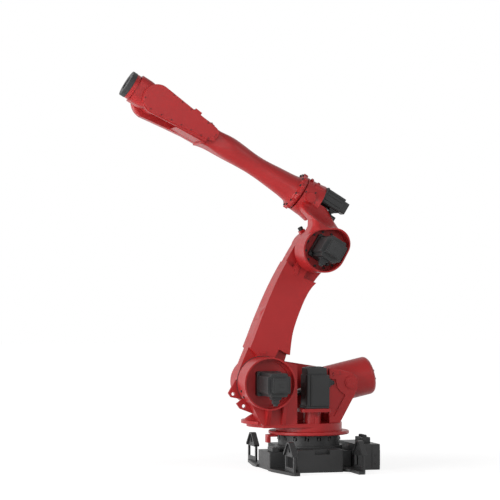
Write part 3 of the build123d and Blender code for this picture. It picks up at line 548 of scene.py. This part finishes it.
houseKnobs = {"radius": 0.012, "depth": 0.012, "steps": ((0.003, 0.002), (0.004, -0.003)), "reach": 0.137,
              "alongs": (0.292, 0.236), "angle": 62}
knobAngle = math.radians(houseKnobs["angle"])
outward = foreAcross * math.sin(knobAngle) + left * math.cos(knobAngle)
places = [aimed(foreSpot(along, 0, 0) + outward * houseKnobs["reach"], outward, foreAlong)
          for along in houseKnobs["alongs"]]
spread(turnedDisc(houseKnobs), places, "houseKnobs", "elbow", redPaint)

coverScrews = {"radius": 0.0055, "height": 0.005, "along": 0.256, "across": -0.006, "ring": 0.054,
               "count": 4, "start": 20, "house": 0.138}
places = []
for degrees in ringAngles(coverScrews):
    angle = math.radians(degrees)
    along = coverScrews["along"] + coverScrews["ring"] * math.cos(angle)
    across = coverScrews["across"] + coverScrews["ring"] * math.sin(angle)
    side = math.sqrt(coverScrews["house"] ** 2 - across ** 2)
    outward = (left * side + foreAcross * across).normalized()
    places.append(aimed(foreSpot(along, across, side), outward, foreAlong))
spreadBolts(socketBolt(coverScrews), places, "coverScrews", "elbow")


# places on a ring round a joint that lies along Y
def ringBeside(centre, ring, facing):
    places = []
    for degrees in ringAngles(ring):
        angle = math.radians(degrees)
        x = centre.x + ring.get("shift", 0.0) + ring["ring"] * math.cos(angle)
        height = centre.z + ring["ring"] * math.sin(angle)
        places.append(aimed(Vector((x, ring["side"], height)), facing))
    return places


cupBolts = {"radius": 0.0088, "height": 0.010, "ring": 0.131, "count": 12, "start": -1, "shift": -0.002,
            "side": 0.232}
spreadBolts(socketBolt(cupBolts), ringBeside(elbow, cupBolts, left), "cupBolts", "elbow")
print("elbow dressed")


# motors: corner bolts, plugs, ribs and end covers
def cornerBolts(name, centre, facing, top, body, bolts):
    seat = aimed(centre, facing, top)
    half = bolts["half"]
    places = [seat @ moved(x * half, y * half) for x in (-1, 1) for y in (-1, 1)]
    spreadBolts(socketBolt(bolts), places, name, body)


motorBolts = {"radius": 0.0085, "height": 0.011, "half": 0.0745, "shoulderSeat": 0.308, "elbowSeat": 0.272}
swingMotor = {"x": 0.009, "side": 0.173, "foot": 0.471, "top": 0.700, "half": 0.084, "cap": 0.751}
swingBolts = {"radius": 0.0065, "height": 0.010, "half": 0.0795}
swingFoot = Vector((swingMotor["x"], swingMotor["side"], swingMotor["foot"]))
shoulderSeat = beside(shoulder, motorBolts["shoulderSeat"])
elbowSeat = beside(elbow, motorBolts["elbowSeat"])
cornerBolts("shoulderMotorBolts", shoulderSeat, left, up, "column", motorBolts)
cornerBolts("elbowMotorBolts", elbowSeat, left, foreAcross, "elbow", motorBolts)
cornerBolts("swingMotorBolts", swingFoot, up, left, "column", swingBolts)

# stepped plugs: housing, neck and round coupling
plugSteps = {"housing": ((0.005, 0.004),), "neck": ((0.003, 0.003),),
             "coupling": ((0.002, 0.003), (0.004, -0.004)), "edge": 0.003}


def motorPlug(name, place, facing, top, body, plug):
    parts = []
    foot = 0.0
    for label in ("housing", "neck"):
        block = shapedBlock({"size": plug[label], "steps": plugSteps[label], "edge": plugSteps["edge"]})
        block.data.transform(moved(z=foot))
        foot += plug[label][2]
        parts.append(block)
    coupling = turnedDisc({"radius": plug["radius"], "depth": plug["reach"], "steps": plugSteps["coupling"]})
    coupling.data.transform(moved(z=foot))
    whole = joined(parts + [coupling])
    layOut(whole, aimed(place, facing, top))
    endEdit(whole)
    settle(whole, name, body, plugPlastic)


shoulderPlug = {"housing": (0.074, 0.066, 0.018), "neck": (0.048, 0.044, 0.030), "radius": 0.017,
                "reach": 0.016, "shift": 0.012, "side": 0.515, "below": 0.084}
plugSpot = beside(shoulder, shoulderPlug["side"]) + ahead * shoulderPlug["shift"] - up * shoulderPlug["below"]
motorPlug("shoulderMotorPlug", plugSpot, -up, left, "column", shoulderPlug)
elbowPlug = {"housing": (0.066, 0.060, 0.016), "neck": (0.044, 0.042, 0.026), "radius": 0.016, "reach": 0.014,
             "along": 0.012, "across": -0.389, "side": 0.440}
plugSpot = foreSpot(elbowPlug["along"], elbowPlug["across"], elbowPlug["side"])
motorPlug("elbowMotorPlug", plugSpot, -foreAcross, left, "elbow", elbowPlug)
swingPlug = {"housing": (0.058, 0.066, 0.020), "neck": (0.044, 0.040, 0.020), "radius": 0.015, "reach": 0.014,
             "side": 0.205, "height": 0.640}
plugSpot = Vector((swingMotor["x"] - swingMotor["half"], swingPlug["side"], swingPlug["height"]))
motorPlug("swingMotorPlug", plugSpot, -ahead, up, "column", swingPlug)
rollPlug = {"housing": (0.056, 0.044, 0.010), "neck": (0.040, 0.032, 0.012), "radius": 0.011, "reach": 0.008,
            "along": 0.052, "across": 0.016, "side": 0.082}
plugSpot = foreSpot(rollPlug["along"], rollPlug["across"], rollPlug["side"])
motorPlug("rollMotorPlug", plugSpot, -foreAcross, left, "elbow", rollPlug)

endCover = {"size": (0.104, 0.096, 0.006), "steps": ((0.010, 0.003), (0.026, -0.003)), "edge": 0.003,
            "shoulderSide": 0.616, "elbowSide": 0.550}
setBlock(endCover, aimed(beside(shoulder, endCover["shoulderSide"]), left, up),
         "shoulderEndCover", "column", motorBlack)
setBlock(endCover, aimed(beside(elbow, endCover["elbowSide"]), left, foreAcross),
         "elbowEndCover", "elbow", motorBlack)

# side plate, lid and ribs that step the motor bodies
swingPlate = {"size": (0.140, 0.226, 0.010), "steps": ((0.012, 0.0015),), "edge": 0.002, "shift": -0.0175}
plateSpot = Vector((swingMotor["x"] + swingPlate["shift"], swingMotor["side"] + swingMotor["half"],
                    (swingMotor["foot"] + swingMotor["top"]) / 2))
setBlock(swingPlate, aimed(plateSpot, left, up), "swingMotorPlate", "column", motorBlack)
swingLid = {"size": (0.118, 0.096, 0.005), "steps": ((0.010, 0.002),), "edge": 0.002}
lidSpot = Vector((swingMotor["x"], swingMotor["side"], swingMotor["cap"]))
setBlock(swingLid, aimed(lidSpot, up, left), "swingMotorLid", "column", motorBlack)

rollRibs = {"size": (0.136, 0.010, 0.005), "steps": ((0.002, 0.0015),), "edge": 0.001, "side": 0.113,
            "along": 0.080, "acrosses": (0.030, 0.052, 0.094, 0.116)}
places = [aimed(foreSpot(rollRibs["along"], across, rollRibs["side"]), left, foreAcross)
          for across in rollRibs["acrosses"]]
spread(shapedBlock(rollRibs), places, "rollMotorRibs", "elbow", motorBlack)
print("motors dressed")

# lower arm: cast pads on its near face
padLow = {"size": (0.052, 0.021, 0.004), "steps": ((0.003, 0.001),), "edge": 0.0015,
          "spot": (0.3835, 0.112, 0.862), "turn": 0}
padHigh = {"size": (0.030, 0.060, 0.005), "steps": ((0.003, 0.001),), "edge": 0.0015,
           "spot": (0.118, 0.0895, 1.462), "turn": -24}
for name, pad in (("armPadLow", padLow), ("armPadHigh", padHigh)):
    place = aimed(Vector(pad["spot"]), left) @ turned(pad["turn"])
    setBlock(pad, place, name, "lower_arm", redPaint)

# a thin black rubber ring in the gap behind the shoulder housing, painted shade put where that gap between
# housing and arm lies in shadow; and the bolts of the lock lug
shoulderGapShadeRing = {"radius": 0.1955, "wall": 0.012, "side": 0.1195, "depth": 0.009, "sides": 96, "edge": 0.002}
gapShadeRing = addCylinder(shoulderGapShadeRing["sides"], shoulderGapShadeRing["radius"], shoulderGapShadeRing["depth"], ends="NOTHING")
wall = gapShadeRing.modifiers.new("wall", "SOLIDIFY")
wall.thickness = shoulderGapShadeRing["wall"]
wall.offset = -1
bpy.ops.object.modifier_apply(modifier=wall.name)
layOut(gapShadeRing, aimed(beside(shoulder, shoulderGapShadeRing["side"]), left))
endEdit(gapShadeRing, shoulderGapShadeRing["edge"])
settle(gapShadeRing, "shoulderGapShadeRing", "column", stopRubber)

lugBolts = {"radius": 0.009, "height": 0.006, "washer": 0.002, "ring": 0.191, "angles": (-17, -31),
            "side": 0.215}
places = []
for degrees in lugBolts["angles"]:
    angle = math.radians(degrees)
    outward = Vector((math.cos(angle), 0, math.sin(angle)))
    places.append(aimed(shoulder + outward * lugBolts["ring"] + left * lugBolts["side"], outward, left))
spreadBolts(hexBolt(lugBolts), places, "lugBolts", "column")

# bolt rings on the hub covers on the far side
shoulderHub = {"radius": 0.0075, "height": 0.007, "ring": 0.108, "count": 8, "side": -0.128}
elbowHub = {"radius": 0.0075, "height": 0.007, "ring": 0.090, "count": 8, "side": -0.102}
for name, centre, hub in (("shoulderHubBolts", shoulder, shoulderHub), ("elbowHubBolts", elbow, elbowHub)):
    spreadBolts(socketBolt(hub), ringBeside(centre, hub, -left), name, "lower_arm")
print("arm dressed")


# places on a ring whose copies turn with it
def boltCircle(centre, facing, ring):
    middle = aimed(centre, facing, left)
    return [middle @ turned(degrees) @ moved(ring["ring"]) for degrees in ringAngles(ring)]


# balancer: end cover and its bolts, ring bolts at the mouth
endDisc = {"radius": 0.094, "depth": 0.004, "steps": ((0.026, 0.002), (0.018, -0.003), (0.014, 0.002)),
           "edge": 0.0015, "back": 0.216}
endBolts = {"radius": 0.008, "height": 0.008, "ring": 0.080, "count": 8, "start": 22.5}
mouthBolts = {"radius": 0.009, "height": 0.009, "ring": 0.113, "count": 8, "reach": 0.150}
discSpot = trunnion - rodAlong * endDisc["back"]
setDisc(endDisc, aimed(discSpot, -rodAlong, left), "balancerEndCover", "balancer", redPaint)
discFace = discSpot - rodAlong * endDisc["depth"]
places = boltCircle(discFace, -rodAlong, endBolts)
spreadBolts(socketBolt(endBolts), places, "balancerEndBolts", "balancer")
mouthSpot = trunnion + rodAlong * mouthBolts["reach"]
places = boltCircle(mouthSpot, rodAlong, mouthBolts)
spreadBolts(socketBolt(mouthBolts), places, "balancerMouthBolts", "balancer")

# plate, trunnion covers and a low web on the cheeks beside the cylinder
cheekPlate = {"size": (0.062, 0.026, 0.003), "steps": ((0.003, 0.0008),), "edge": 0.001,
              "spot": (-0.157, 0.190, 0.7055), "turn": 9}
plateScrews = {"radius": 0.003, "height": 0.0025, "sides": 12, "halfX": 0.025, "halfY": 0.008, "lift": 0.0035}
plateMiddle = aimed(Vector(cheekPlate["spot"]), left) @ turned(cheekPlate["turn"])
setBlock(cheekPlate, plateMiddle, "cheekPlate", "column", redPaint)
places = [plateMiddle @ moved(x * plateScrews["halfX"], y * plateScrews["halfY"], plateScrews["lift"])
          for x in (-1, 1) for y in (-1, 1)]
spreadBolts(socketBolt(plateScrews), places, "cheekPlateScrews", "column")

trunnionCover = {"radius": 0.041, "depth": 0.003, "steps": ((0.010, 0.002), (0.012, -0.002)), "edge": 0.001,
                 "side": 0.198}
for name, outward in (("trunnionCoverLeft", left), ("trunnionCoverRight", -left)):
    place = aimed(trunnion + outward * trunnionCover["side"], outward, up)
    setDisc(trunnionCover, place, name, "column", redPaint)

cheekWeb = {"size": (0.300, 0.056, 0.016), "steps": ((0.010, -0.003),), "edge": 0.003,
            "x": -0.176, "foot": 0.342}
webSpot = Vector((cheekWeb["x"], 0, cheekWeb["foot"] + cheekWeb["size"][1] / 2))
setBlock(cheekWeb, aimed(webSpot, ahead, up), "cheekWeb", "column", redPaint)
print("balancer dressed")

# base: bolts in the neck's pockets, box lid, plug covers on the rear
neckBolts = {"radius": 0.0095, "height": 0.016, "washer": 0.002, "ring": 0.226, "floor": 0.214, "count": 16,
             "start": 2.5}
places = [turned(degrees) @ moved(neckBolts["ring"], 0, neckBolts["floor"])
          for degrees in ringAngles(neckBolts)]
spreadBolts(hexBolt(neckBolts), places, "neckBolts", "root")

boxLow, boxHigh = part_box("connection_box")
boxLid = {"size": (0.060, 0.170, 0.004), "steps": ((0.006, 0.001),), "edge": 0.0015, "back": 0.042}
lidSpot = Vector((boxLow.x + boxLid["back"], boxHigh.y, (boxLow.z + boxHigh.z) / 2))
setBlock(boxLid, aimed(lidSpot, left), "boxSideLid", "root", blackPaint)
lidScrews = {"radius": 0.006, "height": 0.004, "heights": (0.109, 0.048), "back": 0.046, "lift": 0.005}
places = [aimed(Vector((boxLow.x + lidScrews["back"], boxHigh.y + lidScrews["lift"], height)), left)
          for height in lidScrews["heights"]]
spreadBolts(socketBolt(lidScrews), places, "boxLidScrews", "root")

panelPlugs = {"radius": 0.020, "depth": 0.004, "steps": ((0.003, 0.002), (0.003, -0.004), (0.005, 0.002)),
              "heights": (0.062, 0.118), "sides": (-0.08, 0.0, 0.08, 0.16, 0.23)}
places = [aimed(Vector((boxLow.x, side, height)), -ahead)
          for side in panelPlugs["sides"] for height in panelPlugs["heights"]]
spread(turnedDisc(panelPlugs), places, "panelPlugs", "root", plugPlastic)

blockLow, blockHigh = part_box("connector_block")
blockMid = (blockLow + blockHigh) / 2
blockKnobs = {"radius": 0.016, "depth": 0.014, "steps": ((0.003, 0.003), (0.005, -0.004)),
              "shifts": (-0.045, 0.0, 0.045)}
places = [moved(blockMid.x, blockMid.y + shift, blockHigh.z) for shift in blockKnobs["shifts"]]
spread(turnedDisc(blockKnobs), places, "blockKnobs", "root", plugPlastic)
print("base dressed")


# one where the camera or a mirror-like surface looks, nought for the light that falls on things
def seenDirectly(tree, path):
    return mathNode(tree, "MAXIMUM", path.outputs["Is Camera Ray"], path.outputs["Is Glossy Ray"])


# floor: white for the camera, with a soft shadow near the robot's foot
floorLook = {"size": 60, "nearGlow": 0.812, "farGlow": 0.94, "glowSpan": (1.2, 3.2), "bounce": 0.9,
             "shadowShare": 0.42, "rough": 0.9}
bpy.ops.object.select_all(action="DESELECT")
bpy.ops.mesh.primitive_plane_add(size=floorLook["size"], location=(0, 0, 0))
floor = bpy.context.object
floor.name = "studioFloor"
floorMaterial = bpy.data.materials.new("floorWhite")
floorMaterial.use_nodes = True
floor.data.materials.append(floorMaterial)
tree = floorMaterial.node_tree
shader = tree.nodes["Principled BSDF"]
shader.inputs["Roughness"].default_value = floorLook["rough"]
shader.inputs["Specular IOR Level"].default_value = 0.0
shader.inputs["Emission Color"].default_value = (1, 1, 1, 1)
path = tree.nodes.new("ShaderNodeLightPath")
reach = tree.nodes.new("ShaderNodeVectorMath")
reach.operation = "LENGTH"
tree.links.new(objectCoords(tree), reach.inputs[0])
glow = spanNode(tree, reach.outputs["Value"], floorLook["glowSpan"],
                floorLook["nearGlow"], floorLook["farGlow"])
glow = mathNode(tree, "MULTIPLY", seenDirectly(tree, path), glow)
tree.links.new(glow, shader.inputs["Emission Strength"])
share = spanNode(tree, path.outputs["Is Camera Ray"], (0.0, 1.0),
                 floorLook["bounce"], floorLook["shadowShare"])
tree.links.new(share, shader.inputs["Base Color"])

# world: pure white behind everything, dim as a light
worldLevel = 0.16
world = bpy.data.worlds.new("studioWorld")
scene.world = world
world.use_nodes = True
tree = world.node_tree
background = tree.nodes["Background"]
background.inputs["Color"].default_value = (1, 1, 1, 1)
path = tree.nodes.new("ShaderNodeLightPath")
level = spanNode(tree, seenDirectly(tree, path), (0.0, 1.0), worldLevel, 1.0)
tree.links.new(level, background.inputs["Strength"])

# soft lights: a strong one in front of the robot, a weak one over the camera, a weak one behind
lights = {
    "keyLight": {"place": (9.0, 3.0, 2.2), "aim": (0.3, 0, 1.3), "size": (6, 5), "power": 900},
    "fillLight": {"place": (2.0, 10.0, 4.0), "aim": (0, 0, 1.2), "size": (6, 4), "power": 240},
    "rimLight": {"place": (-7.0, 6.0, 4.5), "aim": (-0.2, 0, 1.2), "size": (4, 4), "power": 190},
}
for name, look in lights.items():
    bpy.ops.object.light_add(type="AREA", location=look["place"])
    light = bpy.context.object
    light.name = name
    light.data.shape = "RECTANGLE"
    light.data.size, light.data.size_y = look["size"]
    light.data.energy = look["power"]
    direction = Vector(look["aim"]) - Vector(look["place"])
    light.rotation_euler = direction.to_track_quat("-Z", "Y").to_euler()
print("studio lit")
